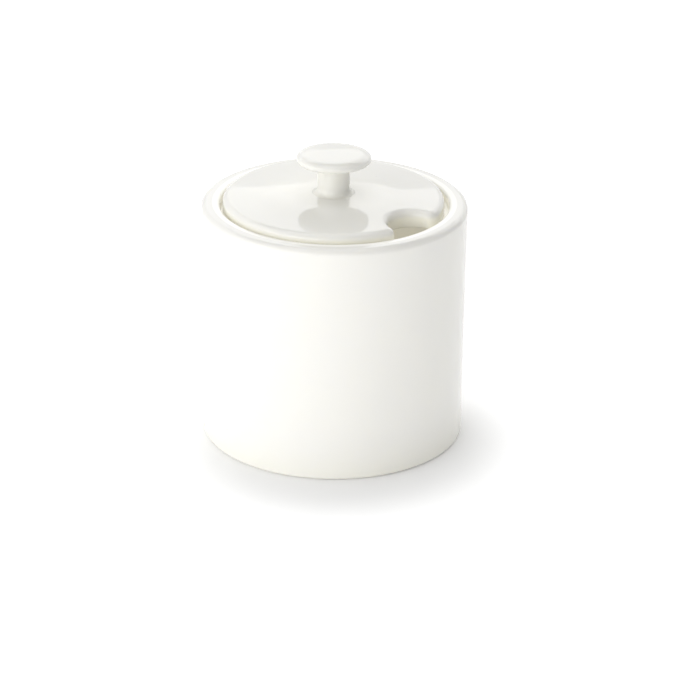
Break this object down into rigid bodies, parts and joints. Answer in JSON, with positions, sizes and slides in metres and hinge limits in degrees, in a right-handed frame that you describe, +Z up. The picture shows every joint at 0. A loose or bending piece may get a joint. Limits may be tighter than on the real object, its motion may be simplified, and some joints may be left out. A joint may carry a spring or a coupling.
{
  "type": "sugar bowl",
  "caption": "Straight-sided porcelain sugar bowl whose lid drops onto a seat inside the rim and has a spoon notch in its edge and a button knob.",
  "frame": {"origin": "centre of the foot ring, on the surface that the bowl stands on", "axes": "+Z up along the pot's axis; -Y is the front; +X is to the right as seen from the front; the spoon notch is at the front right, 41.5 degrees from +X towards -Y"},
  "size_m": [0.085, 0.085, 0.0944],
  "materials": {
    "pot_glaze": "gloss",
    "lid_glaze": "gloss",
    "knob_glaze": "gloss"
  },
  "bodies": {
    "pot": {"pot_body": "pot_glaze"},
    "lid": {"lid_shell": "lid_glaze", "lid_knob": "knob_glaze"}
  },
  "joints": [
    {"name": "lid_lift", "type": "slide", "parent": "pot", "child": "lid", "axis": [0, 0, 1], "range_m": [0, 0.06]}
  ]
}
